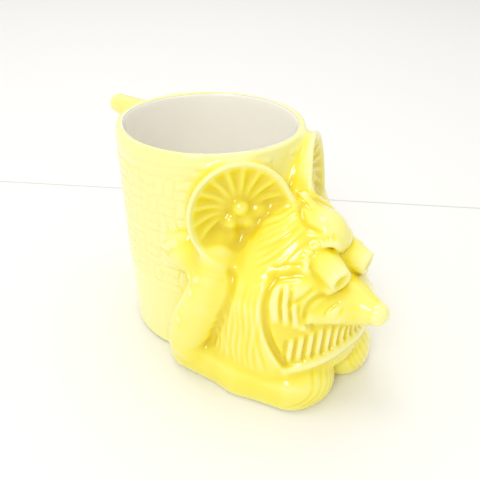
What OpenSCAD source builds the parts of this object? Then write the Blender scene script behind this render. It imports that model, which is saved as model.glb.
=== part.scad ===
// Tiki-style ceramic mug: a round cup with a grinning long-nosed creature
// clinging to its front. The creature faces -Y, the cup stands on Z = 0 with
// its axis on the Z axis, and all sizes are in millimetres.

/* [Cup] */
// outer radius of the cup at the rim
cup_rim_r = 42.8; // [42:0.2:43.4]
// outer radius of the cup where it meets the floor
cup_base_r = 40; // [39:0.5:41]
// height of the rim above the floor
cup_h = 105; // [104:0.5:108]
// thickness of the cup's wall at the rim
wall_t = 3.4; // [3:0.1:4]
// thickness of the cup's floor
floor_t = 6; // [4:0.5:8]
// thickness of the white glaze coat inside the cup
glaze_t = 0.6; // [0.4:0.1:1]
// height of the unglazed ring the cup stands on
foot_h = 1.2; // [0.8:0.2:2]

/* [Relief on the cup] */
// how far the double band under the rim stands out
band_t = 0.9; // [0.6:0.1:1.2]
// how far a woven strip stands out of the cup
weave_t = 1; // [0.7:0.1:1.3]
// rows of woven squares between the two bands
weave_rows = 6; // [5:1:7]
// columns of woven squares in each side panel
weave_cols = 8; // [6:1:9]

/* [Head] */
// radius of the wide lower head and cheeks
head_r = 38; // [37:0.5:38.5]
// radius of the rounded cranium
cranium_r = 28; // [27:0.5:29]
// strands of hair on each cheek
cheek_strands = 7; // [5:1:8]

/* [Ears] */
// radius of an ear at its rim
ear_r = 22.7; // [22:0.1:23.4]
// depth of the ear's hollow below its rim
ear_depth = 6; // [5:0.5:7]
// radial flutes in each ear
ear_flutes = 9; // [7:1:10]

/* [Eyes and nose] */
// radius of an eye stalk at its open end
eye_tip_r = 5; // [4.5:0.1:5.4]
// radius of an eye stalk at its root
eye_root_r = 7.4; // [7:0.1:7.8]
// length of an eye stalk from its root to its open end
eye_len = 18; // [16:0.5:19]
// radius of the nose at its root
nose_root_r = 14; // [13:0.5:14.5]
// radius of the nose at its tip
nose_tip_r = 4.8; // [4.2:0.1:5.2]

/* [Mouth] */
// teeth in the lower row
lower_teeth_n = 11; // [9:1:13]
// upper teeth on each side of the nose
upper_teeth_n = 4; // [3:1:5]

/* [Limbs] */
// thickness of a leg where it lies round the base
leg_d = 23; // [22:0.5:24]
// toes on each foot
toes = 4; // [3:1:5]
// fingers on each hand
fingers = 4; // [3:1:4]

/* [Handle] */
// thickness of the handle's loop
handle_d = 11; // [10:0.2:12]
// distance of the loop's far side from the cup's axis
handle_reach = 71; // [69:0.2:73]
// distance of the thumb knob's end from the cup's axis
knob_reach = 79; // [77:0.2:81]

/* [Hidden] */
$fn = 64;
arc_steps = 9;
bar_steps = 4;
// the cup
rim_round = wall_t / 2;
inner_floor_r = cup_base_r - wall_t - 4;
inner_round = 5;
foot_out_r = cup_base_r - 3.5;
foot_in_r = foot_out_r - 5;
base_chamfer = 2;
wall_low_z = 0.4;
// the bands round the cup
band_r = 1.2;
band_zs = [cup_h - 4.6, cup_h - 7.6];
band_from = -36;
band_sweep = 252;
low_band_z = 37;
weave_from = 101; // angles about +Z from +X
weave_to = 204;
weave_top_z = cup_h - 12;
weave_gap = 0.16; // the share of a strip's pitch left open beside it
// the head, and the axis its lower half is turned about
head_y = -49;
head_low_z = 15;
head_mid_z = 46;
cranium_pos = [0, -56, 58];
hollow_pos = [-9.5, -82, 65];
hollow_r = 9.4;
brow_lobe_pos = [0, -66, 73.5];
brow_lobe_r = 13;
tuft_pos = [0, -59, 84];
tuft_h = 13;
tuft_r = 5.5;
side_box = 60;
// the ears
ear_pos = [-24.9, -45.1, 81.8];
ear_az = -31.4;
ear_up = 8.3;
ear_bead_r = 1.1;
ear_back_t = 20;
flute_w = 2.3;
flute_from = 30;
flute_sweep = 170;
flute_start = 7.4;
flute_end = ear_r * 0.8;
bump_r = 4.6;
// the eyes
eye_end = [-8.3, -85.3, 62.8];
eye_out = 9;
eye_down = 15;
socket_ring_r = 9.6;
socket_r = 1.8;
socket_back = 11;
socket_from = -20;
socket_sweep = 235;
// the nose
nose_tip = [0, -98.1, 49.4];
nose_up = 7;
nose_len = 20;
// the mouth, laid out as angles about the head's axis from -Y
lower_span = 44;
gum_z = 27;
tooth_top_z = 38;
tooth_r = 2.1;
tooth_out = 0.9;
upper_from = 57;
upper_step = 7;
upper_top_z = 58;
upper_low_z = 47;
lip_r = 3;
lip_z = 22.8;
hair_from = 66;
hair_sweep = 42;
hair_t = 1.8;
hair_w = 3.2;
hair_low_z = 19;
hair_steps = 3;
hair_climb = 90 * hair_steps / arc_steps;
// the limbs
shoulder = [-37, -43, 64];
shoulder_r = 8;
knee = [-40, -30, 20];
knee_r = 9;
palm = [-38.5, -25, 58];
palm_r = 7.2;
finger_r = 2.3;
finger_pitch = 4.8;
finger_top_z = 65;
finger_end_y = -8;
finger_step = 1.6;
finger_out = 0.4;
thigh = [-33.2, -26, 6.5];
thigh_r = 12;
shin = [-24.5, -66, 6.5];
foot_pos = [-16, -75.5, 6.5];
foot_r = 12.6;
toe_groove_r = 1;
toe_fan = 30;
toe_from = 35; // the grooves' start and sweep, from straight down
toe_sweep = 105;
toe_turn = 12;
// the handle
handle_top_z = cup_h - 11;
handle_low_z = 30;
handle_r = handle_d / 2;
handle_bend = 14;
handle_start = cup_base_r - 5;
knob_r = 5.2;

// radius of the cup's outside at height z
function cup_r(z) = cup_base_r + (cup_rim_r - cup_base_r) * z / cup_h;
// radius of the bare inside, before its glaze, at height z
function bore_r(z) = cup_r(z) - wall_t;

// ---- helpers ----

// puts a piece made for the creature's right side, at -X, on its left
module mirrored() mirror([1, 0, 0]) children();

// points of a circle's arc about [0, z], from angle a to angle b in n steps
function arc(r, z, a, b, n) = [for (i = [0 : n])
    let(t = a + (b - a) * i / n) [r * cos(t), z + r * sin(t)]];

// a tapered bar with round ends from point p to point q
module bar(p, q, rp, rq) {
    d = q - p;
    translate(p) rotate([0, acos(d[2] / norm(d)), atan2(d[1], d[0])])
        rotate_extrude() polygon(concat(arc(rp, 0, -90, 0, bar_steps),
            arc(rq, norm(d), 0, 90, bar_steps)));
}

// part of a ring of round section about the Z axis
module arc_bar(ring, r, from, sweep) rotate([0, 0, from])
    rotate_extrude(angle = sweep) translate([ring, 0]) circle(r = r);

// turns a piece drawn at +X about the head's axis to the angle a from -Y,
// measured towards the creature's right
module round_head(a) translate([0, head_y, 0]) rotate([0, 0, -90 - a])
    children();

// ---- cup ----

// the cup with its inside filled, which every clinging piece is cut back to
module cup_envelope() cylinder(r1 = cup_base_r, r2 = cup_rim_r, h = cup_h);

// the cup's inside, made smaller all round by the given amount
module cup_bore(less = 0) rotate_extrude() polygon([
    [0, floor_t + less], [inner_floor_r - less, floor_t + less],
    [bore_r(floor_t + inner_round) - less, floor_t + inner_round],
    [bore_r(cup_h - rim_round) - less, cup_h - rim_round],
    [bore_r(cup_h - rim_round) - less, cup_h + 1], [0, cup_h + 1]]);

module cup_wall() color("#f2dd3c") difference() {
    union() {
        rotate_extrude() polygon([[0, foot_h], [foot_out_r, foot_h],
            [foot_out_r, wall_low_z], [cup_base_r - base_chamfer, wall_low_z],
            [cup_r(base_chamfer), base_chamfer + wall_low_z],
            [cup_r(cup_h - rim_round), cup_h - rim_round],
            [0, cup_h - rim_round]]);
        translate([0, 0, cup_h - rim_round]) rotate_extrude()
            translate([cup_r(cup_h - rim_round) - rim_round, 0])
                circle(r = rim_round);
    }
    cup_bore();
}

module inner_glaze() color("#fbfaf3") difference() {
    rotate_extrude() polygon([[0, floor_t], [inner_floor_r, floor_t],
        [bore_r(floor_t + inner_round), floor_t + inner_round],
        [bore_r(cup_h - rim_round), cup_h - rim_round],
        [0, cup_h - rim_round]]);
    cup_bore(glaze_t);
}

module foot_ring() color("#e9e2d2") difference() {
    cylinder(r = foot_out_r, h = foot_h);
    translate([0, 0, -1]) cylinder(r = foot_in_r, h = foot_h + 2);
}

// a raised band whose middle lies on the cup's outside at height z
module band(z, from, sweep)
    translate([0, 0, z]) rotate([0, 0, from]) rotate_extrude(angle = sweep)
        translate([cup_r(z) - band_r + band_t, 0]) circle(r = band_r);

module rim_bands() color("#f2dd3c") difference() {
    for (z = band_zs) band(z, band_from, band_sweep);
    cup_envelope();
    handle_raw();
    ear_raw();
    mirrored() ear_raw();
}

module border_band() color("#f2dd3c") difference() {
    band(low_band_z, band_from, band_sweep);
    cup_envelope();
    handle_raw();
    arm_raw();
    mirrored() arm_raw();
}

// a curved tile on the cup's side from z0 to z1 and from angle a by da
module tile(z0, z1, a, da) rotate([0, 0, a]) rotate_extrude(angle = da)
    polygon([[cup_r(z0), z0], [cup_r(z0) + weave_t, z0],
        [cup_r(z1) + weave_t, z1], [cup_r(z1), z1]]);

// basket weave: squares of two strips, lying and standing in turn
module weave_raw() {
    z0 = low_band_z + band_r + 1;
    dz = (weave_top_z - z0) / weave_rows;
    da = (weave_to - weave_from) / weave_cols;
    for (i = [0 : weave_rows - 1], j = [0 : weave_cols - 1], k = [0, 1]) {
        lying = (i + j) % 2 == 0;
        z = z0 + dz * (i + (lying ? k / 2 : 0) + weave_gap / 2);
        a = weave_from + da * (j + (lying ? 0 : k / 2) + weave_gap / 2);
        tile(z, z + dz * (lying ? 0.5 : 1) - dz * weave_gap,
            a, da * (lying ? 1 : 0.5) - da * weave_gap);
    }
}

module weave_right() color("#f2dd3c") difference() {
    weave_raw();
    arm_raw();
    hand_raw();
    ear_raw();
}
module weave_left() mirrored() weave_right();

// ---- head ----

// the wide lower head's outline: a drum with a round top
function drum(r) = concat([[0, head_low_z], [r, head_low_z]],
    arc(r, head_mid_z, 0, 90, arc_steps));

module head_drum() translate([0, head_y, 0])
    rotate_extrude() polygon(drum(head_r));

module cranium() translate(cranium_pos) sphere(r = cranium_r);

// the hollow an eye stands in
module eye_hollow() translate(hollow_pos) sphere(r = hollow_r);

// the hollow inside the head, closed behind by the cup
module head_void() translate([0, head_y, 0]) rotate_extrude() polygon([
    [0, head_low_z + 6], [head_r - 13, head_low_z + 6],
    [head_r - 13, head_mid_z - 12], [head_r - 19, head_mid_z],
    [head_r - 28, head_mid_z + 14], [0, head_mid_z + 16]]);

module head() color("#f2dd3c") difference() {
    union() {
        head_drum();
        cranium();
    }
    cup_envelope();
    head_void();
    eye_hollow();
    mirrored() eye_hollow();
    ear_raw();
    mirrored() ear_raw();
    leg_raw();
    mirrored() leg_raw();
}

// a lock of hair standing up between the ears
module hair_tuft() color("#f2dd3c") difference() {
    translate(tuft_pos) rotate([32, 0, 0])
        cylinder(r1 = tuft_r, r2 = 1, h = tuft_h);
    head_drum();
    cranium();
    brow_lobe_raw();
}

module brow_lobe_raw() translate(brow_lobe_pos) sphere(r = brow_lobe_r);

module brow_lobe() color("#f2dd3c") difference() {
    brow_lobe_raw();
    head_drum();
    cranium();
    eye_hollow();
    mirrored() eye_hollow();
    ear_raw();
    mirrored() ear_raw();
}

// ---- ears ----

// everything on the creature's left, which no right-hand piece may enter
module other_side() translate([0, -2 * side_box, -side_box])
    cube([side_box, 4 * side_box, 3 * side_box]);

module at_ear() translate(ear_pos) rotate([0, 0, ear_az])
    rotate([90 - ear_up, 0, 0]) children();

// the solid behind an ear's hollow
module ear_bowl() rotate_extrude() polygon([[0, -ear_depth],
    [ear_r * 0.4, -ear_depth * 0.94], [ear_r * 0.62, -ear_depth * 0.78],
    [ear_r * 0.8, -ear_depth * 0.5], [ear_r - ear_bead_r * 2, -ear_bead_r],
    [ear_r * 0.8, -ear_back_t], [0, -ear_back_t]]);

module ear_raw() at_ear() rotate_extrude() {
    polygon([[0, -ear_depth], [ear_r * 0.4, -ear_depth * 0.94],
        [ear_r * 0.62, -ear_depth * 0.78], [ear_r * 0.8, -ear_depth * 0.5],
        [ear_r - ear_bead_r * 2, -ear_bead_r], [ear_r, -ear_bead_r],
        [ear_r + 0.4, -ear_back_t], [0, -ear_back_t]]);
    translate([ear_r - ear_bead_r, -ear_bead_r]) circle(r = ear_bead_r);
}

module ear_right() color("#f2dd3c") difference() {
    ear_raw();
    cup_envelope();
    other_side();
}
module ear_left() mirrored() ear_right();

// ribs fanned out from a rounded bump in the ear's hollow
module ear_flutes_right() color("#e6c424") difference() {
    at_ear() {
        translate([1, -2, -ear_depth]) sphere(r = bump_r);
        for (i = [0 : ear_flutes - 1])
            rotate([90, 0, flute_from + i * flute_sweep / (ear_flutes - 1)])
                linear_extrude(height = flute_w, center = true) polygon([
                    [flute_start, -ear_depth - 1], [flute_end, -ear_depth],
                    [flute_end, -ear_depth * 0.3],
                    [flute_start, -ear_depth * 0.7]]);
    }
    at_ear() ear_bowl();
    head_drum();
    cranium();
}
module ear_flutes_left() mirrored() ear_flutes_right();

// ---- eyes and nose ----

module at_eye() translate(eye_end) rotate([0, 0, -eye_out])
    rotate([90 + eye_down, 0, 0]) children();

module eye_raw() at_eye() difference() {
    translate([0, 0, -eye_len]) cylinder(r1 = eye_root_r, r2 = eye_tip_r,
        h = eye_len);
    translate([0, 0, -2.4]) cylinder(r1 = eye_tip_r - 2.4,
        r2 = eye_tip_r - 1, h = 3);
}

module eye_right() color("#f2dd3c") difference() {
    eye_raw();
    head_skin();
}
module eye_left() mirrored() eye_right();

// the head with its hollows already cut
module head_skin() difference() {
    union() {
        head_drum();
        cranium();
    }
    eye_hollow();
    mirrored() eye_hollow();
}

module eye_socket_right() color("#f2dd3c") difference() {
    at_eye() translate([-1.5, 1, -socket_back])
        arc_bar(socket_ring_r, socket_r, socket_from, socket_sweep);
    head_skin();
    eye_raw();
    brow_lobe_raw();
    other_side();
}
module eye_socket_left() mirrored() eye_socket_right();

module nose() color("#f2dd3c") difference() {
    bar(nose_tip, nose_tip + nose_len * [0, cos(nose_up), -sin(nose_up)],
        nose_tip_r, nose_root_r);
    head_skin();
    eye_hollow();
    mirrored() eye_hollow();
    eye_raw();
    mirrored() eye_raw();
}

// ---- mouth ----

module lower_teeth() color("#f2dd3c") difference() {
    union() {
        for (i = [0 : lower_teeth_n - 1]) {
            a = -lower_span + i * 2 * lower_span / (lower_teeth_n - 1);
            round_head(a) bar([head_r + tooth_out, 0, gum_z],
                [head_r + tooth_out - 0.6, 0, tooth_top_z], tooth_r, tooth_r);
        }
        translate([0, head_y, gum_z]) arc_bar(head_r + 0.4, tooth_r * 0.8,
            -90 - lower_span, 2 * lower_span);
    }
    head_drum();
    cranium();
}

// long teeth at the corner of the grin, shorter towards the nose
module upper_teeth_right() color("#f2dd3c") difference() {
    for (i = [0 : upper_teeth_n - 1]) {
        a = upper_from - i * upper_step;
        top = upper_top_z - i * 4;
        round_head(a) bar([head_r + 0.7, 0, upper_low_z],
            [head_r + 0.2, 0, top], tooth_r, tooth_r * 0.8);
    }
    head_drum();
    cranium();
}
module upper_teeth_left() mirrored() upper_teeth_right();

module lip_raw() translate([0, head_y, lip_z])
    arc_bar(head_r + 0.6, lip_r, -90 - lower_span - 2, 2 * lower_span + 4);

module lower_lip() color("#f2dd3c") difference() {
    lip_raw();
    head_drum();
    cranium();
    for (i = [0 : lower_teeth_n - 1]) {
        a = -lower_span + i * 2 * lower_span / (lower_teeth_n - 1);
        round_head(a) translate([head_r + tooth_out, 0, gum_z])
            sphere(r = tooth_r);
    }
    translate([0, head_y, gum_z]) arc_bar(head_r + 0.4, tooth_r * 0.8,
        -90 - lower_span, 2 * lower_span);
}

// ---- cheeks ----

// a strand's outline seen along the head's side, lying on the drum
function strand_band() = concat([[head_r, hair_low_z],
    [head_r + hair_t, hair_low_z]],
    arc(head_r + hair_t, head_mid_z, 0, hair_climb, hair_steps),
    arc(head_r, head_mid_z, hair_climb, 0, hair_steps));

// strands of hair down the side of the head, from below the ear to the leg
module cheek_hair_right() color("#f2dd3c") difference() {
    for (i = [0 : cheek_strands - 1])
        round_head(hair_from + i * hair_sweep / (cheek_strands - 1))
            rotate([90, 0, 0]) linear_extrude(height = hair_w, center = true)
                polygon(strand_band());
    ear_raw();
}
module cheek_hair_left() mirrored() cheek_hair_right();

// ---- limbs ----

module arm_raw() bar(shoulder, knee, shoulder_r, knee_r);

module arm_right() color("#f2dd3c") difference() {
    arm_raw();
    cup_envelope();
    translate([0, head_y, 0]) rotate_extrude()
        polygon(drum(head_r + hair_t));
    ear_raw();
    leg_raw();
}
module arm_left() mirrored() arm_right();

module hand_raw() {
    translate(palm) sphere(r = palm_r);
    for (i = [0 : fingers - 1]) {
        z = finger_top_z - i * finger_pitch;
        bar([palm[0], palm[1], z], [-cup_r(z) - finger_out,
            finger_end_y - abs(i - 1) * finger_step, z], finger_r, finger_r);
    }
}

module hand_right() color("#f2dd3c") difference() {
    hand_raw();
    cup_envelope();
    arm_raw();
}
module hand_left() mirrored() hand_right();

module leg_raw() intersection() {
    bar(thigh, shin, thigh_r, leg_d / 2);
    translate([-60, -100, 0]) cube([60, 120, 40]);
}

module leg_right() color("#f2dd3c") difference() {
    leg_raw();
    cup_envelope();
}
module leg_left() mirrored() leg_right();

// a rounded pad with grooves between the toes over its front
module foot_right() color("#f2dd3c") difference() {
    translate(foot_pos) rotate_extrude()
        polygon(concat([[0, -foot_pos[2]], [foot_r - 1.4, -foot_pos[2]],
            [foot_r, 2 - foot_pos[2]]], arc(foot_r, 0, 0, 90, arc_steps)));
    for (i = [0 : toes])
        translate(foot_pos)
            rotate([0, 90, 180 - toe_turn - toe_fan
                + i * 2 * toe_fan / toes])
                arc_bar(foot_r, toe_groove_r, toe_from, toe_sweep);
    leg_raw();
    head_drum();
    lip_raw();
}
module foot_left() mirrored() foot_right();

// ---- handle ----

// a tail bent into a loop behind the cup, its tip left as a thumb knob
module handle_raw() {
    y = handle_reach - handle_r - handle_bend;
    for (z = [handle_low_z, handle_top_z]) translate([0, handle_start, z])
        rotate([-90, 0, 0]) cylinder(r = handle_r, h = y - handle_start);
    translate([0, y + handle_bend, handle_low_z + handle_bend])
        cylinder(r = handle_r, h = handle_top_z - handle_low_z
            - 2 * handle_bend);
    translate([0, y, handle_top_z - handle_bend]) rotate([90, 0, 90])
        arc_bar(handle_bend, handle_r, 0, 90);
    translate([0, y, handle_low_z + handle_bend]) rotate([0, 90, 0])
        arc_bar(handle_bend, handle_r, 0, 90);
    bar([0, y, handle_top_z], [0, knob_reach - knob_r, handle_top_z],
        handle_r + 0.5, knob_r);
}

module handle() color("#f2dd3c") difference() {
    handle_raw();
    cup_envelope();
}

cup_wall();
inner_glaze();
foot_ring();
rim_bands();
border_band();
weave_left();
weave_right();
head();
hair_tuft();
brow_lobe();
ear_left();
ear_right();
ear_flutes_left();
ear_flutes_right();
eye_socket_left();
eye_socket_right();
eye_left();
eye_right();
nose();
upper_teeth_left();
upper_teeth_right();
lower_teeth();
lower_lip();
cheek_hair_left();
cheek_hair_right();
arm_left();
arm_right();
hand_left();
hand_right();
leg_left();
leg_right();
foot_left();
foot_right();
handle();
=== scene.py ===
"""A tiki-style ceramic mug: a round cup with a grinning long-nosed creature on its front.

The glazed body is modelled as one skin of clay, the way the real mug is cast: balls, bars
and strokes are blended into a distance field on a grid, in millimetres, with the creature
facing -Y. The field is meshed once and the skin is then parted into its named sub-parts.
"""

import math
from collections import namedtuple

import bpy
import numpy as np
import openvdb
from mathutils import Matrix


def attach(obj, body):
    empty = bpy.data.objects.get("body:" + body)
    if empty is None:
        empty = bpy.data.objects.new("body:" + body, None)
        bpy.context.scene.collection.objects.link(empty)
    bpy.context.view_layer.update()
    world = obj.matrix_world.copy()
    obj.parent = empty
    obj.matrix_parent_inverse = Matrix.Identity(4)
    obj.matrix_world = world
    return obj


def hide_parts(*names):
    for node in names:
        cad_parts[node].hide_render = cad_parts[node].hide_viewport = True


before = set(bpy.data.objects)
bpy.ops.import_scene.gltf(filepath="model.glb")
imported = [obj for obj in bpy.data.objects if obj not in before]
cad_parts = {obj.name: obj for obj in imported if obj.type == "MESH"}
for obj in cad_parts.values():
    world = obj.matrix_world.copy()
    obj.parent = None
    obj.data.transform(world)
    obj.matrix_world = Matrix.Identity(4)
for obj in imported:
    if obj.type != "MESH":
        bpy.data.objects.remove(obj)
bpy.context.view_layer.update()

MM = 0.001

# ---------------------------------------------------------------- sizes, in millimetres

STEP = 0.5  # spacing of the clay grid
FAR = 8.0  # distance given to grid points that nothing has touched
SKIN = 0.9  # thickness of each sub-part's shell
LOW = np.array([-52.0, -108.0, -2.0])
COUNT = (105, 385, 221)  # the last X plane is the creature's plane of symmetry

CUP_H = 105.0
CUP_RIM_R = 42.8
CUP_BASE_R = 40.0
WALL = 3.3
FOOT_R = 36.6
FOOT_H = 1.2
CUP_FLOOR = 6.0
BORE_CORNER = 9.0  # radius where the cup's inside turns into its floor
LINING = 0.6
LINING_PROUD = 0.3  # how far the lining stands out from the wall
LINING_SUNK = 0.4  # and how far it reaches into it
RIM_ROUND = 1.5
BANDS = ((0.9, CUP_H - 4.6), (0.8, CUP_H - 7.9), (0.7, 37.0))  # each band's height and its Z
WEAVE_FROM = 97.0  # degrees round the cup where the weave's first square starts
WEAVE_WIDE = 12.2  # degrees to a square
WEAVE_LOW = 39.5
WEAVE_TALL = 9.0
EAR_POOL_AND_SHADE = 0.40  # how much deeper gold the ears' bowls are made: partly glaze pooling there, partly painted shade in the recess
MOUTH_SHADE = 0.16  # painted shade in the mouth, under the overhanging nose
FEET_DARKENING = 0.14  # how much darker the creature's glaze is made towards its feet
CUP_SIDE_PAINTED_LIGHT = 0.33  # painted light: how much paler the cup's side is made, standing in for the strong light on it

HEAD_Y = -49.0  # axis that the wide lower head is turned about
HEAD_R = 38.0
HEAD_LOW = 15.0
HEAD_MID = 46.0
LOWER_TEETH = 8
TOOTH_PITCH = 6.4  # degrees round the head from one lower tooth to the next

EAR_R = 22.7
EAR_POS = np.array([-24.9, -45.1, 81.8])
EAR_TURN = math.radians(-31.4)
EAR_TILT = math.radians(8.3)

EYE_END = np.array([-9.3, -85.5, 63.0])
EYE_LEN = 18.0
EYE_OUT = math.radians(12)
EYE_DOWN = math.radians(12)

# sub-parts that cross the plane of symmetry; the others come as a right and a left one
CENTRE_NODES = {"cup_wall", "rim_bands", "border_band", "head", "hair_tuft", "brow_lobe", "nose",
                "lower_teeth", "lower_lip", "handle"}

Shape = namedtuple("Shape", "distance low high")

# ---------------------------------------------------------------- the clay


def smooth_min(a, b, k):
    h = np.maximum(k - np.abs(a - b), 0) / k
    return np.minimum(a, b) - h * h * k / 4


def smooth_max(a, b, k):
    return -smooth_min(-a, -b, k)


def round_max(a, b, r):
    """The corner between two surfaces, rounded to radius r."""
    return np.minimum(np.maximum(a, b), -r) + np.hypot(np.maximum(a + r, 0), np.maximum(b + r, 0))


class Clay:
    """A distance field over the creature's right half, with a name for each point."""

    def __init__(self):
        self.axis = [LOW[i] + STEP * np.arange(COUNT[i]) for i in range(3)]
        self.field = np.full(COUNT, FAR, np.float32)
        self.closest = np.full(COUNT, FAR, np.float32)
        self.owner = np.zeros(COUNT, np.uint8)
        self.names = []

    def window(self, low, high, margin):
        cut = []
        for i in range(3):
            a = int(math.floor((low[i] - margin - LOW[i]) / STEP))
            b = int(math.ceil((high[i] + margin - LOW[i]) / STEP)) + 1
            cut.append(slice(min(max(a, 0), COUNT[i]), min(max(b, 0), COUNT[i])))
        x, y, z = (self.axis[i][cut[i]] for i in range(3))
        return tuple(cut), x[:, None, None], y[None, :, None], z[None, None, :]

    def add(self, name, shape, blend=2.0):
        if name not in self.names:
            self.names.append(name)
        cut, x, y, z = self.window(shape.low, shape.high, blend + 2.5)
        d = shape.distance(x, y, z).astype(np.float32)
        self.field[cut] = smooth_min(self.field[cut], d, blend)
        nearer = d < self.closest[cut]
        self.closest[cut] = np.where(nearer, d, self.closest[cut])
        self.owner[cut] = np.where(nearer, self.names.index(name), self.owner[cut])

    def cut(self, shape, blend=1.0):
        cut, x, y, z = self.window(shape.low, shape.high, blend + 1)
        d = shape.distance(x, y, z).astype(np.float32)
        self.field[cut] = smooth_max(self.field[cut], -d, blend)

    def push(self, name, low, high, height):
        """Raises the surface by height(x, y, z, field) and names what it raised."""
        cut, x, y, z = self.window(low, high, 0)
        raised = height(x, y, z, self.field[cut]).astype(np.float32)
        self.field[cut] -= raised
        self.claim(name, cut, raised > 0.25)

    def claim(self, name, cut, mine):
        if name not in self.names:
            self.names.append(name)
        self.owner[cut] = np.where(mine, self.names.index(name), self.owner[cut])

    def probe(self, points):
        """The field and its gradient at each point."""
        g = np.clip((points - LOW) / STEP, 1, np.array(COUNT) - 2.001)
        i = g.astype(int)
        f = g - i
        value = np.zeros(len(points))
        slope = np.zeros((len(points), 3))
        for corner in range(8):
            o = [(corner >> k) & 1 for k in range(3)]
            w = np.prod([np.where(o[k], f[:, k], 1 - f[:, k]) for k in range(3)], axis=0)
            a, b, c = (i[:, k] + o[k] for k in range(3))
            value += w * self.field[a, b, c]
            for k in range(3):
                e = [a, b, c]
                e[k] = np.minimum(e[k] + 1, COUNT[k] - 1)
                h = [a, b, c]
                h[k] = h[k] - 1
                slope[:, k] += w * (self.field[tuple(e)] - self.field[tuple(h)]) / (2 * STEP)
        return value, slope

    def settle(self, points):
        """Moves points that lie near the surface onto it."""
        p = np.array(points, float)
        for _ in range(6):
            value, slope = self.probe(p)
            reach = np.clip(value / np.maximum((slope**2).sum(1), 0.3), -2, 2)
            p -= reach[:, None] * slope
        return p

    def stroke(self, points, width, height, ends=0.25, name=None):
        """A soft ridge, or with a negative height a groove, drawn along the surface."""
        route = self.settle(smooth_line(points, 1.2))
        n = len(route)
        along = np.linspace(0, 1, n)
        fade = np.clip(np.minimum(along, 1 - along) / max(ends, 1e-3), 0, 1)
        strength = height * (0.25 + 0.75 * np.sin(fade * math.pi / 2))
        cut, x, y, z = self.window(route.min(0), route.max(0), 2.2 * width)
        best = np.zeros(np.broadcast_shapes(x.shape, y.shape, z.shape))
        for a, b, s in zip(route[:-1], route[1:], (strength[:-1] + strength[1:]) / 2):
            e = b - a
            t = ((x - a[0]) * e[0] + (y - a[1]) * e[1] + (z - a[2]) * e[2]) / max(e @ e, 1e-9)
            t = np.clip(t, 0, 1)
            far2 = (x - a[0] - t * e[0]) ** 2 + (y - a[1] - t * e[1]) ** 2 + (z - a[2] - t * e[2]) ** 2
            best = np.maximum(best, abs(s) * np.exp(-far2 / width**2))
        self.field[cut] -= (math.copysign(1, height) * best).astype(np.float32)
        if name:
            self.claim(name, cut, best > 0.3 * abs(height))


def smooth_line(points, spacing):
    """A curve through the points, with a point about every spacing along it."""
    p = np.array(points, float)
    if len(p) == 2:
        n = max(2, int(np.linalg.norm(p[1] - p[0]) / spacing) + 1)
        return p[0] + np.linspace(0, 1, n)[:, None] * (p[1] - p[0])
    p = np.vstack([2 * p[0] - p[1], p, 2 * p[-1] - p[-2]])
    out = []
    for a, b, c, d in zip(p[:-3], p[1:-2], p[2:-1], p[3:]):
        n = max(2, int(np.linalg.norm(c - b) / spacing) + 1)
        t = np.linspace(0, 1, n, endpoint=False)[:, None]
        out.append(0.5 * (2 * b + (c - a) * t + (2 * a - 5 * b + 4 * c - d) * t**2
                          + (3 * b - a - 3 * c + d) * t**3))
    return np.vstack(out + [p[-2:-1]])


# ---------------------------------------------------------------- shapes


def ball(centre, r):
    c = np.array(centre, float)

    def distance(x, y, z):
        return np.sqrt((x - c[0]) ** 2 + (y - c[1]) ** 2 + (z - c[2]) ** 2) - r

    return Shape(distance, c - r, c + r)


def pebble(centre, radii, turn=0.0, tip=0.0):
    """An ellipsoid, turned about Z and then tipped about its own X axis."""
    c = np.array(centre, float)
    m = np.array(Matrix.Rotation(turn, 3, "Z") @ Matrix.Rotation(tip, 3, "X"))
    reach = np.full(3, max(radii))

    def distance(x, y, z):
        q = [(x - c[0]) * m[0, k] + (y - c[1]) * m[1, k] + (z - c[2]) * m[2, k] for k in range(3)]
        k0 = np.sqrt(sum((q[k] / radii[k]) ** 2 for k in range(3)))
        k1 = np.sqrt(sum((q[k] / radii[k] ** 2) ** 2 for k in range(3)))
        return k0 * (k0 - 1) / np.maximum(k1, 1e-6)

    return Shape(distance, c - reach, c + reach)


def bar(p, q, rp, rq):
    """A tapered bar with round ends."""
    p, q = np.array(p, float), np.array(q, float)
    e = q - p
    low = np.minimum(p - rp, q - rq)
    high = np.maximum(p + rp, q + rq)

    def distance(x, y, z):
        t = np.clip(((x - p[0]) * e[0] + (y - p[1]) * e[1] + (z - p[2]) * e[2]) / (e @ e), 0, 1)
        far = np.sqrt((x - p[0] - t * e[0]) ** 2 + (y - p[1] - t * e[1]) ** 2 + (z - p[2] - t * e[2]) ** 2)
        return far - (rp + (rq - rp) * t)

    return Shape(distance, low, high)


def rope(points, radii):
    """A bent bar through several points, with a radius at each."""
    line = smooth_line(points, 2.0)
    p = np.array(points, float)
    run = np.concatenate([[0], np.cumsum(np.linalg.norm(np.diff(p, axis=0), axis=1))])
    path = np.concatenate([[0], np.cumsum(np.linalg.norm(np.diff(line, axis=0), axis=1))])
    r = np.interp(path / path[-1], run / run[-1], radii)
    parts = [bar(a, b, ra, rb) for a, b, ra, rb in zip(line[:-1], line[1:], r[:-1], r[1:])]
    low = np.min([s.low for s in parts], axis=0)
    high = np.max([s.high for s in parts], axis=0)
    return Shape(lambda x, y, z: np.minimum.reduce([s.distance(x, y, z) for s in parts]), low, high)


def cup_r(z):
    return CUP_BASE_R + (CUP_RIM_R - CUP_BASE_R) * z / CUP_H


def bore(x, y, z):
    """Distance to the cup's inside."""
    return smooth_max(np.hypot(x, y) - (cup_r(z) - WALL), CUP_FLOOR - z, BORE_CORNER)


def axes_of(turn, tilt):
    """The X, Y and Z axes of a disc that is tipped up from level by tilt and then turned."""
    return np.array(Matrix.Rotation(turn, 3, "Z") @ Matrix.Rotation(tilt, 3, "X")).T


def local(x, y, z, origin, axes):
    return [(x - origin[0]) * a[0] + (y - origin[1]) * a[1] + (z - origin[2]) * a[2] for a in axes]


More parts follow.
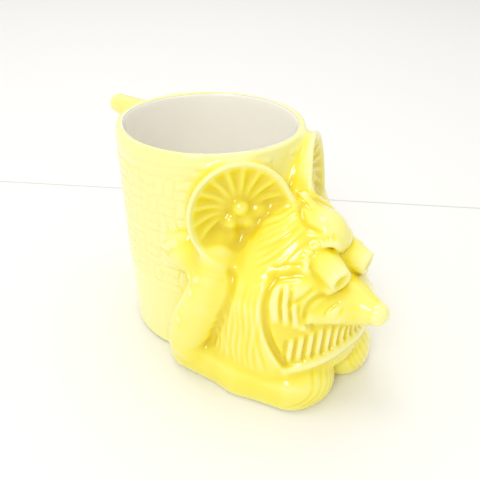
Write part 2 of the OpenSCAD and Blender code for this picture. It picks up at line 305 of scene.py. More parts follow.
def on_head(angle, z, out=0.0):
    """A point on the lower head, angle degrees from straight ahead towards its right."""
    r = HEAD_R + out if z < HEAD_MID else math.sqrt(max(HEAD_R**2 - (z - HEAD_MID) ** 2, 1)) + out
    a = math.radians(angle)
    return np.array([-r * math.sin(a), HEAD_Y - r * math.cos(a), z])


# ---------------------------------------------------------------- the sub-parts


def cup(clay):
    def body(x, y, z):
        side = np.hypot(x, y) - cup_r(z)
        solid = round_max(round_max(side, z - CUP_H, RIM_ROUND), 0.4 - z, 2.2)
        return round_max(solid, -bore(x, y, z), RIM_ROUND)

    clay.add("cup_wall", Shape(body, (-43, -43, 0), (1, 43, 106)), 0.01)

    def underside(x, y, z):
        return np.maximum(np.hypot(x, y) - FOOT_R, z - FOOT_H)

    clay.cut(Shape(underside, (-37, -37, -3), (1, 37, FOOT_H)), 0.3)


def cup_relief(clay):
    """The double band under the rim, the low band, and basket weave between them."""

    def near_wall(rho, z, field):
        return np.clip(1 - np.abs(rho - cup_r(z)) / 3, 0, 1) * (field > -3)

    def bands(x, y, z, field):
        rho = np.hypot(x, y)
        around = np.degrees(np.arctan2(y, x)) % 360
        wave = 0.25 * np.sin(np.radians(around) * 5)
        raised = 0
        for height, band_z in BANDS:
            raised = raised + height * np.exp(-(((z - band_z - wave) / 1.25) ** 2))
        shown = (around > 100) & (around < 262)
        return raised * near_wall(rho, z, field) * shown * (rho > cup_r(z) - 1.5)

    def weave(x, y, z, field):
        rho = np.hypot(x, y)
        around = np.degrees(np.arctan2(y, x)) % 360
        u = (around - WEAVE_FROM) / WEAVE_WIDE
        v = (z - WEAVE_LOW) / WEAVE_TALL
        u = u + 0.05 * np.sin(v * 5.1)
        v = v + 0.05 * np.sin(u * 4.3)
        lying = (np.floor(u) + np.floor(v)) % 2 == 0
        fu, fv = u - np.floor(u), v - np.floor(v)
        strip = np.where(lying, (fv * 2) % 1, (fu * 2) % 1)
        run = np.where(lying, fu, fv)
        across = np.clip(np.minimum(strip, 1 - strip) * 4.2, 0, 1)
        length = np.clip(np.minimum(run, 1 - run) * 7, 0, 1)
        inside = (around > 98) & (around < 236) & (v > 0) & (v < 6)
        form = np.sin(across * math.pi / 2) * np.sin(length * math.pi / 2)
        return 0.8 * form * inside * near_wall(rho, z, field) * (rho > cup_r(z) - 1.5)

    clay.push("border_band", (-46, -46, 34), (1, 46, 41), bands)
    clay.push("rim_bands", (-46, -46, 92), (1, 46, 105), bands)
    clay.push("weave", (-46, -46, 38), (1, 46, 93.5), weave)


def head(clay):
    def drum(x, y, z):
        rho = np.hypot(x, y - HEAD_Y)
        side = np.hypot(rho, np.maximum(z - HEAD_MID, 0) * 1.45) - HEAD_R
        return round_max(side, HEAD_LOW - z, 4.0)

    clay.add("head", Shape(drum, (-39, -88, HEAD_LOW), (1, -10, 86)), 2.5)
    clay.add("head", pebble((0, -52.5, 59), (24.5, 26, 27)), 9)


def ear(clay):
    axes = axes_of(EAR_TURN, math.pi / 2 - EAR_TILT)

    def bowl(x, y, z):
        u, v, w = local(x, y, z, EAR_POS, axes)
        rho = np.hypot(u, v)
        side = rho - EAR_R - 0.22 * w * (w < 0)
        front = w + 6.2 * np.clip(1 - (rho / (EAR_R - 1.6)) ** 2, 0, 1) ** 0.75
        return smooth_max(round_max(side, front * 0.85, 1.3), -26 - w, 3)

    clay.add("ear", Shape(bowl, (-52, -62, 52), (1, -10, 108)), 5.0)

    def place(u, v, w):
        return EAR_POS + u * axes[0] + v * axes[1] + w * axes[2]

    # flutes fanned out from the bumps in the hollow
    for i in range(10):
        a = math.radians(30 + i * 18.5)
        curl = math.radians(-9 + 3.2 * i)
        route = []
        for r in (6.5, 10, 14, 18.5 - 0.15 * abs(i - 4)):
            t = a + curl * (r - 12) / 12
            route.append(place(r * math.cos(t), r * math.sin(t), -5 + 0.012 * r * r))
        clay.stroke(route, 1.2, 1.3, 0.35, "ear_flutes")
    for u, v, r, out in ((0.6, 2.2, 4.2, 0.0), (-3.6, -4.0, 3.4, -0.2), (3.8, -3.4, 3.6, 0.4),
                         (8.4, 0.6, 3.0, 0.6), (-7.8, -9.2, 2.1, 0.6), (-3.4, -9.8, 2.2, 0.5)):
        clay.add("ear_flutes", ball(place(u, v, -6.8 + out + r * 0.25), r), 2.6)


def eye(clay):
    axes = axes_of(-EYE_OUT, math.pi / 2 + EYE_DOWN)

    def place(u, v, w):
        return EYE_END + u * axes[0] + v * axes[1] + w * axes[2]

    # a pocket over the stalk, whose underside stays bedded in the cheek
    clay.cut(bar(place(-0.5, 1.1, -11), place(0, 0.4, 3), 8.0, 6.0), 1.2)
    clay.cut(bar(place(0, 0, 3), place(0, 0, 14), 5.6, 5.6), 1.2)

    def stalk(x, y, z):
        u, v, w = local(x, y, z, EYE_END, axes)
        rho = np.hypot(u, v)
        side = (rho - (4.9 - 0.23 * w)) * 0.97
        dish = w + 1.4 * np.clip(1 - (rho / 3.6) ** 2, 0, 1)
        return smooth_max(round_max(side, dish * 0.9, 0.8), -EYE_LEN - 4 - w, 2)

    # the raised lid that arches over the stalk
    lid = []
    for i in range(11):
        a = math.radians(48 + i * 15)
        lid.append(place(9.2 * math.cos(a) - 0.5, 9.2 * math.sin(a) + 1.4, -11.5))
    clay.add("eye_socket", rope(clay.settle(lid), np.full(11, 0.9)), 2.2)
    clay.add("eye", Shape(stalk, EYE_END - [13, 10, 14], EYE_END + [13, 28, 16]), 1.2)
    # the bag that wraps under the stalk
    clay.add("eye_socket", bar(place(-5.2, -4.0, -12), place(-2.6, -5.2, -3.5), 4.0, 3.0), 1.6)
    # short creases that radiate from the lid
    for i in range(8):
        a = math.radians(78 + i * 13)
        route = []
        for r in (10.3, 12.4):
            route.append(place(r * math.cos(a) - 0.5, r * math.sin(a) + 1.4, -11 - (r - 10) * 0.7))
        clay.stroke(route, 0.6, -0.6)


def brow(clay):
    clay.add("brow_lobe", pebble((0, -68.5, 74.5), (9.5, 11, 10), 0, 0.5), 3.0)
    fold = [(-1.5, -58.5, 86.5), (-7.5, -61.5, 84.5), (-10.2, -66.5, 81.5), (-8, -71.5, 79.5)]
    clay.stroke(fold, 1.1, -1.3, 0.3)
    # a lock of hair that stands up between the ears
    clay.add("hair_tuft", bar((0, -58, 82), (-0.3, -56, 87.2), 4.5, 1.4), 3.5)
    clay.stroke([(-1.5, -52, 86), (-3, -58, 86.5), (-3.5, -63, 85)], 1.0, -1.0, 0.3)


def nose(clay):
    clay.add("nose", bar((0, -97.6, 49.6), (0, -84, 48.5), 5.3, 11.3), 2.5)
    # the wings spread into an upper lip that overhangs the teeth
    wings = rope([(-21, -77.5, 47), (-15, -80, 47.5), (-8, -83, 48.5), (0, -85, 49)], (2.2, 4.2, 7.0, 9.0))
    clay.add("nose", wings, 2.0)
    clay.stroke([(-22.8, -79, 45.5), (-22.8, -79, 50), (-20.4, -80, 55), (-16.5, -81, 57), (-11, -84, 58)],
                1.1, -1.2, 0.2)
    clay.stroke([(-17, -84.5, 50), (-15.5, -86, 54), (-12.5, -87.5, 56.5)], 0.9, -0.7)
    clay.stroke([(-12.5, -88, 49), (-11.5, -89.5, 53)], 0.9, -0.5)


def mouth(clay):
    """The open grin: a sunk crescent with teeth along both of its edges."""

    def grin(x, y, z):
        rho = np.hypot(x, y - HEAD_Y)
        a = np.degrees(np.arctan2(-x, HEAD_Y - y))
        corner = 61.5 - ((z - 50) / 7) ** 2 * (z < 50) - ((z - 50) / 9) ** 2 * (z >= 50)
        low = 22 + 5 * np.clip(1 - a / 45, 0, 1)
        rows = np.maximum(np.maximum((a - corner) * 0.62, low - z), z - 61)
        return np.maximum(rows, np.maximum(HEAD_R - 1.3 - rho, rho - HEAD_R - 6))

    clay.cut(Shape(grin, (-38, -92, 18), (1, -58, 64)), 2.0)

    # the hard edge where the beard starts behind the mouth's corner
    edge = [(58, 64), (61.5, 59), (62.5, 53), (61.8, 47), (59.8, 40.5), (56.2, 34), (51, 27.5), (45.5, 21)]
    clay.stroke([on_head(a, z, -1.0) for a, z in edge], 1.3, -2.5, 0.12)

    lip = [(46, 20), (38, 22), (30, 23.6), (21, 25), (12, 26.3), (0, 27.4)]
    clay.add("lower_lip", rope([on_head(a, z, -1.2) for a, z in lip], (1.8, 2.3, 2.5, 2.6, 2.6, 2.6)), 2.0)

    for i in range(LOWER_TEETH):
        a = -0.8 + i * TOOTH_PITCH
        base, top = 30.6 - i * 0.6, 41.5 - 0.12 * i * i
        middle = (base + top) / 2
        tooth = [on_head(a + 0.8, base, -1.2), on_head(a + 0.3, middle, -1), on_head(a - 0.6, top, -1.4)]
        clay.stroke(tooth, 1.7, 1.5, 0.2, "lower_teeth")
        gap = [on_head(a + 3.9, base - 1, -1.2), on_head(a + 3.5, middle, -1), on_head(a + 2.9, top, -1.4)]
        clay.stroke(gap, 0.85, -1.5, 0.25)

    # the long upper teeth: angle and Z at the root, Z and angle at the tip
    fangs = ((56.2, 61.5, 46.5, 55), (50.8, 62, 45.5, 48.5), (45.0, 54, 44.5, 42.7), (40.2, 50.5, 43, 38),
             (35.8, 48, 42.5, 34))
    for a, top, tip, b in fangs:
        route = [on_head(a, top, -1), on_head((a + b) / 2 + 1, (top + tip) / 2, -1), on_head(b, tip, -1)]
        clay.stroke(route, 1.5, 1.5, 0.25, "upper_teeth")
        beside = [p + [2.1, -1.6, -0.6] for p in route]
        clay.stroke(beside, 0.8, -1.4, 0.3)


def cheek(clay):
    """The pouches under the eye, and the folds that run down to the nose."""
    clay.add("head", pebble((-19.5, -71.5, 57.5), (7.5, 5.2, 4.8), math.radians(-48)), 3.0)
    clay.stroke([(-26.8, -63.5, 62.3), (-23.3, -68.3, 63.8), (-19.5, -71.5, 64.4)], 2.6, -1.5, 0.3)
    clay.stroke([(-25.4, -62.5, 66), (-21.6, -67, 67.6), (-18, -70.8, 68.4)], 0.9, -0.6)
    clay.stroke([(-25, -74, 54.5), (-21.5, -76.5, 57.5), (-17.5, -78, 60)], 1.0, -1.0)


def hair(clay):
    """Combed strands over the crown, and the wavy beard down to its hem."""
    rng = np.random.default_rng(7)

    def strand(s):
        """A strand over the crown, from the first at s = 0 to the last at s = 1."""
        start = np.array([-2.5 - 9 * s, -58 - 14 * s, 86 - 7 * s])
        end = np.array([-19 - 13 * s, -47 - 14 * s, 79 - 22 * s])
        mid = (start + end) / 2 + rng.normal(0, 0.8, 3) + [-2, -3, 3]
        return [start, mid, end]

    for i in range(10):
        clay.stroke(strand(i / 9), 0.8, -0.18 - 0.16 * rng.random())
    for i in range(7):
        clay.stroke(strand((i + 0.5) / 7), 1.0, 0.14)

    for i in range(12):
        a = 63.5 + i * 4.1
        wave = rng.uniform(0, 6.3)
        top = 60 - 1.2 * i + rng.uniform(-3, 3)
        route = []
        for k in range(9):
            z = top + (18.5 - top) * k / 8
            bow = a + 1.3 * math.sin(wave + k * 0.9) - 3.5 * max(0.0, (30 - z) / 12) * (1 - i / 12)
            route.append(on_head(bow, z, 0.2))
        clay.stroke(route, 0.8, -0.3, 0.15)
        clay.stroke([p + [0, 1.9, 0] for p in route[1:]], 0.9, 0.22, 0.2, "cheek_hair")


def arm(clay):
    bones = [(-32.5, -38, 64), (-35.3, -38.5, 55), (-36.6, -36, 43), (-37.4, -30, 28), (-37, -26, 16)]
    clay.add("arm", rope(bones, (6.4, 8.6, 10.0, 11, 11)), 6.0)
    # the deep fold between the arm and the beard
    fold = [(-34.2, -48.7, 62.5), (-34.8, -50.2, 57), (-37, -50.6, 50), (-37.6, -46.5, 37), (-37.4, -41, 24),
            (-39.5, -38.5, 18)]
    clay.stroke(fold, 1.6, -1.8, 0.1)
    # small warts on the arm
    for x, y, z in ((-43, -33, 55), (-45, -38, 57), (-46, -36, 50), (-47, -30, 33)):
        p = clay.settle([(x, y, z)])[0]
        clay.add("arm", ball(p, 1.0), 1.6)


def hand(clay):
    clay.add("hand", pebble((-36, -24, 60), (7, 9, 8)), 7.0)
    for i in range(4):
        z = 66.5 - i * 4.7
        a = math.radians(214 - i * 1.5)
        b = math.radians(196 + 2 * abs(i - 1))
        r = cup_r(z) + 1.0
        route = []
        for j, t in enumerate((a, (a + b) / 2, b)):
            route.append((r * math.cos(t), r * math.sin(t), z + 1.2 - 1.2 * j))
        clay.stroke(route, 1.8, 2.1, 0.3, "hand")


def leg(clay):
    def roll(p, q, half, top):
        p, q = np.array(p, float), np.array(q, float)
        e = q - p

        def distance(x, y, z):
            t = np.clip(((x - p[0]) * e[0] + (y - p[1]) * e[1]) / (e @ e), 0, 1)
            far = np.hypot(x - p[0] - t * e[0], y - p[1] - t * e[1])
            side = far - half + 0.02 * (z - 8) ** 2
            return round_max(round_max(side, z - top, 5.0), -z, 1.2)

        return Shape(distance, np.append(np.minimum(p, q) - half, 0), np.append(np.maximum(p, q) + half, top))

    clay.add("leg", roll((-33.0, -24), (-27, -52), 12.6, 18.6), 3.5)
    clay.add("leg", roll((-27, -52), (-19, -72), 13.4, 17.8), 3.5)


def foot(clay):
    clay.add("foot", pebble((-13.8, -75.2, 9), (14.2, 13.4, 13.6)), 2.5)
    clay.cut(Shape(lambda x, y, z: 0 * x + 0 * y + z, (-52, -108, -2), (1, 84, 0)), 1.0)
    # creases between the toes wrap down the front and under towards the outside
    for i in range(6):
        top = (-2.5 - 2.9 * i, -86.5 + 0.25 * i * i, 20.5 - 0.2 * i)
        middle = (-5.0 - 3.3 * i, -89 + 0.2 * i * i, 10)
        low = (-11 - 3.4 * i, -88.5 + 0.45 * i * i, 3)
        clay.stroke([top, middle, low], 0.7, -0.38, 0.2)


def handle(clay):
    top, low, reach = 94.0, 30.0, 65.5
    loop = [(0, 36, low), (0, 51, low), (0, 61.5, low + 4), (0, reach, low + 14), (0, reach, 61),
            (0, reach, top - 14), (0, 61.5, top - 4), (0, 51, top), (0, 36, top)]
    clay.add("handle", rope(loop, (6.3, 5.6, 5.4, 5.3, 5.3, 5.4, 5.6, 5.8, 6.5)), 3.5)
    clay.add("handle", bar((0, 52, top + 0.8), (0, 73.2, top + 0.3), 6.2, 5.3), 3.0)


def clear_bore(clay):
    """Takes away whatever pushed through the wall into the cup."""
    clay.cut(Shape(bore, (-38, -38, CUP_FLOOR), (1, 38, 112)), 0.4)


# ---------------------------------------------------------------- from clay to meshes


def blurred(field, cells):
    """The field averaged over a soft ball of about the given number of cells."""
    out = np.clip(field, -4, 4).astype(np.float32)
    for axis in range(3):
        for _ in range(2):
            pad = [(0, 0)] * 3
            pad[axis] = (cells + 1, cells)
            total = np.cumsum(np.pad(out, pad, mode="edge"), axis=axis, dtype=np.float32)
            ahead = [slice(None)] * 3
            behind = [slice(None)] * 3
            ahead[axis] = slice(2 * cells + 1, None)
            behind[axis] = slice(None, -(2 * cells + 1))
            out = (total[tuple(ahead)] - total[tuple(behind)]) / (2 * cells + 1)
    return out


def sample(values, points):
    """Values of a grid at the points, blended between its eight nearest cells."""
    g = np.clip((points - LOW) / STEP, 0, np.array(COUNT) - 1.001)
    i = g.astype(int)
    f = g - i
    out = np.zeros(len(points))
    for corner in range(8):
        o = [(corner >> k) & 1 for k in range(3)]
        w = np.prod([np.where(o[k], f[:, k], 1 - f[:, k]) for k in range(3)], axis=0)
        out += w * values[i[:, 0] + o[0], i[:, 1] + o[1], i[:, 2] + o[2]]
    return out


def in_ear_bowl(points):
    """1 at points on the floor of an ear's bowl, falling to 0 at its rim."""
    u, v, w = local(*points.T, EAR_POS, axes_of(EAR_TURN, math.pi / 2 - EAR_TILT))
    return np.clip((EAR_R - 1.6 - np.hypot(u, v)) / 2.5, 0, 1) * np.clip(-w, 0, 1) * (w > -9)


def in_mouth(points):
    """1 at points sunk between the lips."""
    rho = np.hypot(points[:, 0], points[:, 1] - HEAD_Y)
    sunk = np.clip(HEAD_R - 0.2 - rho, 0, 1) * (rho > HEAD_R - 5)
    above_lip = np.clip((points[:, 2] - 24) / 3, 0, 1)
    below_cheek = np.clip((50 - points[:, 2]) / 6, 0, 1)
    return sunk * (points[:, 1] < -68) * above_lip * below_cheek


def on_cup(points):
    """1 at points on the cup's own side, which is painted paler as painted light."""
    rho = np.hypot(points[:, 0], points[:, 1])
    return np.clip((cup_r(points[:, 2]) + 2.5 - rho) / 1.5, 0, 1)


def skin_of(clay):
    """Points, faces, normals, hollowness (carrying glaze pooling, painted shade and painted light) and owner
    of the whole glazed skin.
    """
    field = np.concatenate([clay.field, clay.field[-2::-1]])
    grid = openvdb.FloatGrid(FAR)
    grid.copyFromArray(np.clip(field, -FAR, FAR))
    points, quads = grid.convertToQuads(0.0)
    points = np.asarray(points, float) * STEP + LOW
    quads = np.asarray(quads, int)
    side = np.where(points[:, :1] > 0, -1.0, 1.0)
    flip = np.concatenate([side, np.ones((len(points), 2))], axis=1)
    half = points * flip
    for _ in range(2):
        value, slope = clay.probe(half)
        half -= (np.clip(value, -0.4, 0.4) / np.maximum((slope**2).sum(1), 0.5))[:, None] * slope
    slope = clay.probe(half)[1]
    normals = slope / np.maximum(np.linalg.norm(slope, axis=1), 1e-6)[:, None] * flip
    # near the plane of symmetry the outside can't lean sideways
    seam = np.clip(np.abs(half[:, 0]) / STEP, 0, 1)
    normals[:, 0] *= seam
    normals /= np.linalg.norm(normals, axis=1)[:, None]
    # how deep each point lies in a hollow, at a fine and a wide scale; the glaze is made deeper gold there,
    # partly for glaze pooling and partly as painted shade in the recesses
    hollow = []
    for cells in (2, 6):
        hollow.append(-sample(blurred(clay.field, cells), half) / (cells * STEP))
    # deeper gold in the ears' bowls, partly glaze pooling and partly painted shade, and painted shade in the
    # mouth under the nose
    hollow[1] += EAR_POOL_AND_SHADE * in_ear_bowl(half) + MOUTH_SHADE * in_mouth(half)
    # darker towards the creature's feet, and painted light that makes the cup's own side paler
    hollow[1] += (1 - on_cup(half)) * FEET_DARKENING * np.clip(1 - half[:, 2] / 22, 0, 1) - CUP_SIDE_PAINTED_LIGHT * on_cup(half)
    i = np.rint((half - LOW) / STEP).astype(int)
    i = np.clip(i, 0, np.array(COUNT) - 1)
    owner = clay.owner[i[:, 0], i[:, 1], i[:, 2]]
    a, b, c = (half * flip)[quads[:, 0]], (half * flip)[quads[:, 1]], (half * flip)[quads[:, 2]]
    facing = np.einsum("ij,ij->i", np.cross(b - a, c - a), normals[quads[:, 0]])
    if np.median(facing) < 0:
        quads = quads[:, ::-1]
    return half * flip, quads, normals, hollow, owner


def shell(name, points, quads, normals, hollow):
    """A closed shell: the skin, its copy pushed inwards, and walls round its edge."""
    used, index = np.unique(quads, return_inverse=True)
    quads = index.reshape(quads.shape)
    outer, lean = points[used], normals[used]
    n = len(used)
    a, b = quads.ravel(), np.roll(quads, -1, axis=1).ravel()
    key = np.minimum(a, b) * n + np.maximum(a, b)
    _, first, count = np.unique(key, return_index=True, return_counts=True)
    rim = first[count == 1]
    walls = np.stack([b[rim], a[rim], a[rim] + n, b[rim] + n], axis=1)
    faces = np.concatenate([quads, quads[:, ::-1] + n, walls])
    mesh = bpy.data.meshes.new(name)
    places = np.concatenate([outer, outer - SKIN * lean]) * MM
    mesh.vertices.add(2 * n)
    mesh.vertices.foreach_set("co", places.astype(np.float32).ravel())
    mesh.loops.add(4 * len(faces))
    mesh.loops.foreach_set("vertex_index", faces.astype(np.int32).ravel())
    mesh.polygons.add(len(faces))
    mesh.polygons.foreach_set("loop_start", np.arange(0, 4 * len(faces), 4, dtype=np.int32))
    mesh.polygons.foreach_set("use_smooth", np.ones(len(faces), bool))
    mesh.update(calc_edges=True)
    mesh.validate()
    for label, values in zip(("fine_pool_and_shade", "wide_pool_shade_and_light"), hollow):
        layer = mesh.attributes.new(label, "FLOAT", "POINT")
        layer.data.foreach_set("value", np.tile(values[used], 2).astype(np.float32))
    mesh.normals_split_custom_set_from_vertices(np.concatenate([lean, -lean]).tolist())
    thing = bpy.data.objects.new(name, mesh)
    bpy.context.scene.collection.objects.link(thing)
    return thing


def lining():
    """The white glaze inside the cup, up to a slightly wavy line just under the rim."""
    sides = 160
    floor_z = CUP_FLOOR + LINING
    corner_z = floor_z + BORE_CORNER
    profile = [(0.0, floor_z), (12.0, floor_z)]
    for k in range(9):
        a = math.radians(90 * k / 8)
        r = cup_r(corner_z) - WALL - BORE_CORNER * (1 - math.sin(a))
        profile.append((r, floor_z + BORE_CORNER * (1 - math.cos(a))))
    profile += [(cup_r(z) - WALL, z) for z in np.linspace(corner_z + 4, CUP_H - RIM_ROUND, 24)]
    for a in (0.3, 0.6, 0.85):
        r = cup_r(CUP_H) - WALL + RIM_ROUND * (1 - math.cos(a))
        profile.append((r, CUP_H - RIM_ROUND * (1 - math.sin(a))))
    verts, faces = [], []
    for inward in (LINING_PROUD, -LINING_SUNK):
        for j, (r, z) in enumerate(profile):
            for i in range(sides):
                a = 2 * math.pi * i / sides
                sway = 0.3 * math.sin(3 * a + 1) * (j >= len(profile) - 2)
                far = max(r - inward, 0.01)
                drop = 0.4 * (inward < 0) * (r < 30)
                verts.append((far * math.cos(a) * MM, far * math.sin(a) * MM, (z + sway - drop) * MM))
    rows = len(profile)
    for layer in (0, 1):
        for j in range(rows - 1):
            for i in range(sides):
                a = (layer * rows + j) * sides + i
                b = (layer * rows + j) * sides + (i + 1) % sides
                ring = (a, b, b + sides, a + sides)
                faces.append(ring if layer else ring[::-1])
    for i in range(sides):
        a = (rows - 1) * sides + i
        b = (rows - 1) * sides + (i + 1) % sides
        faces.append((a, b, b + rows * sides, a + rows * sides))
    mesh = bpy.data.meshes.new("white_lining")
    mesh.from_pydata(verts, [], faces)
    for face in mesh.polygons:
        face.use_smooth = True
    thing = bpy.data.objects.new("white_lining", mesh)
    bpy.context.scene.collection.objects.link(thing)
    return thing


# ---------------------------------------------------------------- materials


def new_material(name, colour, roughness):
    material = bpy.data.materials.new(name)
    material.use_nodes = True
    shader = material.node_tree.nodes["Principled BSDF"]
    shader.inputs["Base Color"].default_value = (*colour, 1)
    shader.inputs["Roughness"].default_value = roughness
    return material, material.node_tree, shader


def drift(tree, shader, scale, first, second):
    """Lets the colour drift between two close shades over soft patches."""
    coords = tree.nodes.new("ShaderNodeTexCoord")
    noise = tree.nodes.new("ShaderNodeTexNoise")
    noise.inputs["Scale"].default_value = scale
    noise.inputs["Detail"].default_value = 4
    ramp = tree.nodes.new("ShaderNodeValToRGB")
    ramp.color_ramp.elements[0].position = 0.35
    ramp.color_ramp.elements[0].color = (*first, 1)
    ramp.color_ramp.elements[1].position = 0.65
    ramp.color_ramp.elements[1].color = (*second, 1)
    tree.links.new(coords.outputs["Object"], noise.inputs["Vector"])
    tree.links.new(noise.outputs["Fac"], ramp.inputs["Fac"])
    tree.links.new(ramp.outputs["Color"], shader.inputs["Base Color"])


def ripple(tree, shader, scale, strength):
    """The faint unevenness of a surface that was brushed on or left raw."""
    coords = tree.nodes.new("ShaderNodeTexCoord")
    noise = tree.nodes.new("ShaderNodeTexNoise")
    noise.inputs["Scale"].default_value = scale
    noise.inputs["Detail"].default_value = 2
    bump = tree.nodes.new("ShaderNodeBump")
    bump.inputs["Strength"].default_value = strength
    bump.inputs["Distance"].default_value = 0.0005
    tree.links.new(coords.outputs["Object"], noise.inputs["Vector"])
    tree.links.new(noise.outputs["Fac"], bump.inputs["Height"])
    tree.links.new(bump.outputs["Normal"], shader.inputs["Normal"])


def white_glaze():
    material, tree, shader = new_material("white_glaze", (0.99, 0.965, 0.875), 0.12)
    shader.inputs["Coat Weight"].default_value = 0.6
    drift(tree, shader, 30, (0.98, 0.955, 0.86), (0.995, 0.97, 0.885))
    ripple(tree, shader, 120, 0.08)
    return material


def bare_clay():
    material, tree, shader = new_material("bare_clay", (0.86, 0.80, 0.68), 0.85)
    drift(tree, shader, 90, (0.80, 0.73, 0.60), (0.89, 0.84, 0.73))
    ripple(tree, shader, 900, 0.5)
    return material


def yellow_glaze():
    """Pale over edges and deep golden in the hollows: partly glaze pooling, partly painted shade in the
    hollows, and painted light that makes the cup's side paler.
    """
    material, tree, shader = new_material("yellow_glaze", (0.9, 0.72, 0.04), 0.13)
    shader.inputs["Coat Weight"].default_value = 0.6
    shader.inputs["Coat Roughness"].default_value = 0.04
    shader.inputs["Specular IOR Level"].default_value = 0.55
    fine = tree.nodes.new("ShaderNodeAttribute")
    fine.attribute_name = "fine_pool_and_shade"
    wide = tree.nodes.new("ShaderNodeAttribute")
    wide.attribute_name = "wide_pool_shade_and_light"
    both = tree.nodes.new("ShaderNodeMath")
    both.operation = "MULTIPLY_ADD"
    both.inputs[1].default_value = 0.9
    tree.links.new(fine.outputs["Fac"], both.inputs[0])
    tree.links.new(wide.outputs["Fac"], both.inputs[2])
    noise = tree.nodes.new("ShaderNodeTexNoise")
    noise.inputs["Scale"].default_value = 55
    noise.inputs["Detail"].default_value = 3
    coords = tree.nodes.new("ShaderNodeTexCoord")
    tree.links.new(coords.outputs["Object"], noise.inputs["Vector"])
    mottle = tree.nodes.new("ShaderNodeMath")
    mottle.operation = "MULTIPLY_ADD"
    mottle.inputs[1].default_value = 0.22
    tree.links.new(noise.outputs["Fac"], mottle.inputs[0])
    tree.links.new(both.outputs[0], mottle.inputs[2])
    # pale end for raised edges and the painted light on the cup's side, deep gold end for pooled glaze and
    # painted shade in the hollows
    ramp = tree.nodes.new("ShaderNodeValToRGB")
    ramp.color_ramp.elements[0].position = 0.12
    ramp.color_ramp.elements[0].color = (0.97, 0.93, 0.36, 1)
    ramp.color_ramp.elements[1].position = 1.0
    ramp.color_ramp.elements[1].color = (0.80, 0.60, 0.0, 1)
    for position, colour in ((0.41, (0.96, 0.865, 0.085, 1)), (0.62, (0.91, 0.755, 0.015, 1))):
        stop = ramp.color_ramp.elements.new(position)
        stop.color = colour
    spread = tree.nodes.new("ShaderNodeMapRange")
    spread.inputs["From Min"].default_value = -0.5
    spread.inputs["From Max"].default_value = 0.9
    tree.links.new(mottle.outputs[0], spread.inputs["Value"])
    tree.links.new(spread.outputs["Result"], ramp.inputs["Fac"])
    tree.links.new(ramp.outputs["Color"], shader.inputs["Base Color"])
    ripple(tree, shader, 160, 0.10)
    return material


# ---------------------------------------------------------------- building


def main_clay():
    """The whole creature and cup. The order matters, as each shape blends over the ones before."""
    clay = Clay()
    cup(clay)
    cup_relief(clay)
    handle(clay)
    head(clay)
    ear(clay)
    brow(clay)
    cheek(clay)
    hair(clay)
    mouth(clay)
    nose(clay)
    eye(clay)
    arm(clay)
    hand(clay)
    leg(clay)
    foot(clay)
    clear_bore(clay)
    return clay


def glazed_pieces(clay, glaze):
    """Parts the skin into a piece for each sub-part."""
    points, quads, normals, hollow, owner = skin_of(clay)
    face_owner = owner[quads[:, 0]]
    on_left = points[quads].mean(axis=1)[:, 0] > 0
    for number, name in enumerate(clay.names):
        halves = {"_right": ~on_left, "_left": on_left}
        if name in CENTRE_NODES:
            halves = {"": np.ones(len(quads), bool)}
        for side, half in halves.items():
            mine = quads[(face_owner == number) & half]
            piece = shell("glazed_" + name + side, points, mine, normals, hollow)
            piece.data.materials.append(glaze)
            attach(piece, "root")
            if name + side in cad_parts:
                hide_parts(name + side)


glazed_pieces(main_clay(), yellow_glaze())

white_lining = lining()
white_lining.data.materials.append(white_glaze())
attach(white_lining, "root")
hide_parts("inner_glaze")

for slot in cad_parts["foot_ring"].material_slots:
    slot.material = bare_clay()

# ---------------------------------------------------------------- camera, floor and light

# where the photograph was taken from, as solved from the rim's ellipse and the base's curve
camera = bpy.data.objects.new("camera", bpy.data.cameras.new("camera"))
camera.data.lens = 42.0
camera.data.sensor_width = 36.0
camera.data.clip_start = 0.01
yaw, pitch, roll = math.radians(45.69), math.radians(31.60), math.radians(1.34)
camera.matrix_world = (Matrix.Translation((-0.1655, -0.1815, 0.1916)) @ Matrix.Rotation(-yaw, 4, "Z")
                       @ Matrix.Rotation(math.pi / 2 - pitch, 4, "X") @ Matrix.Rotation(roll, 4, "Z"))
bpy.context.scene.collection.objects.link(camera)
bpy.context.scene.camera = camera


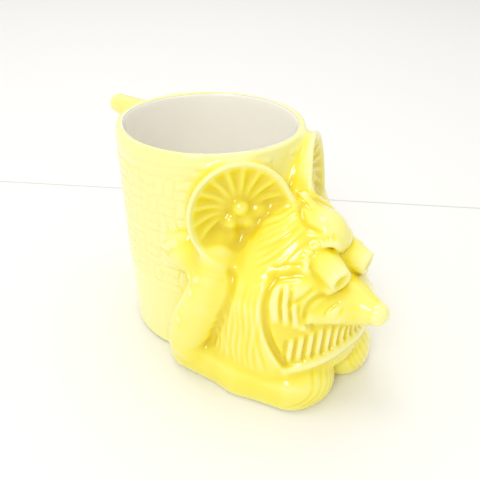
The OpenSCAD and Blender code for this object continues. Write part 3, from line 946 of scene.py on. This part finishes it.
def plane(name, corners, material):
    mesh = bpy.data.meshes.new(name)
    mesh.from_pydata(corners, [], [tuple(range(len(corners)))])
    mesh.materials.append(material)
    thing = bpy.data.objects.new(name, mesh)
    bpy.context.scene.collection.objects.link(thing)
    return thing


floor_material = new_material("floor", (0.90, 0.895, 0.88), 0.6)[0]
plane("floor", [(-3, -3, 0), (3, -3, 0), (3, 3, 0), (-3, 3, 0)], floor_material)
# a faint dark line across the floor behind the mug
dark_line_material = new_material("seam", (0.70, 0.69, 0.665), 0.7)[0]
dark_line_start, dark_line_end = np.array([-0.017, 0.224]), np.array([0.217, -0.053])
along = (dark_line_end - dark_line_start) / np.linalg.norm(dark_line_end - dark_line_start)
across = 0.0006 * np.array([-along[1], along[0]])
ends = [dark_line_start - 0.9 * along + across, dark_line_end + 0.9 * along + across,
        dark_line_end + 0.9 * along - across, dark_line_start - 0.9 * along - across]
plane("floor_dark_line", [(*end, 0.0001) for end in ends[::-1]], dark_line_material)


def area_light(name, place, target, size, power, colour=(1, 1, 1)):
    light = bpy.data.lights.new(name, "AREA")
    light.shape = "RECTANGLE"
    light.size, light.size_y = size
    light.energy = power
    light.color = colour
    thing = bpy.data.objects.new(name, light)
    thing.location = place
    aim = Matrix.Translation(target).to_translation() - Matrix.Translation(place).to_translation()
    thing.rotation_euler = aim.to_track_quat("-Z", "Y").to_euler()
    bpy.context.scene.collection.objects.link(thing)


area_light("window", (-0.75, -0.35, 0.75), (0, -0.02, 0.05), (0.26, 0.34), 2.7)
area_light("ceiling", (0.35, 0.6, 1.2), (0.15, 0.2, 0), (1.8, 1.8), 6.0)
area_light("lamp", (-0.1, 0.1, 1.1), (0, 0, 0.05), (0.32, 0.32), 1.5)

world = bpy.data.worlds.new("room")
bpy.context.scene.world = world
world.use_nodes = True
background = world.node_tree.nodes["Background"]
background.inputs["Color"].default_value = (1.0, 0.985, 0.96, 1)
background.inputs["Strength"].default_value = 0.745

bpy.context.scene.view_settings.view_transform = "Standard"
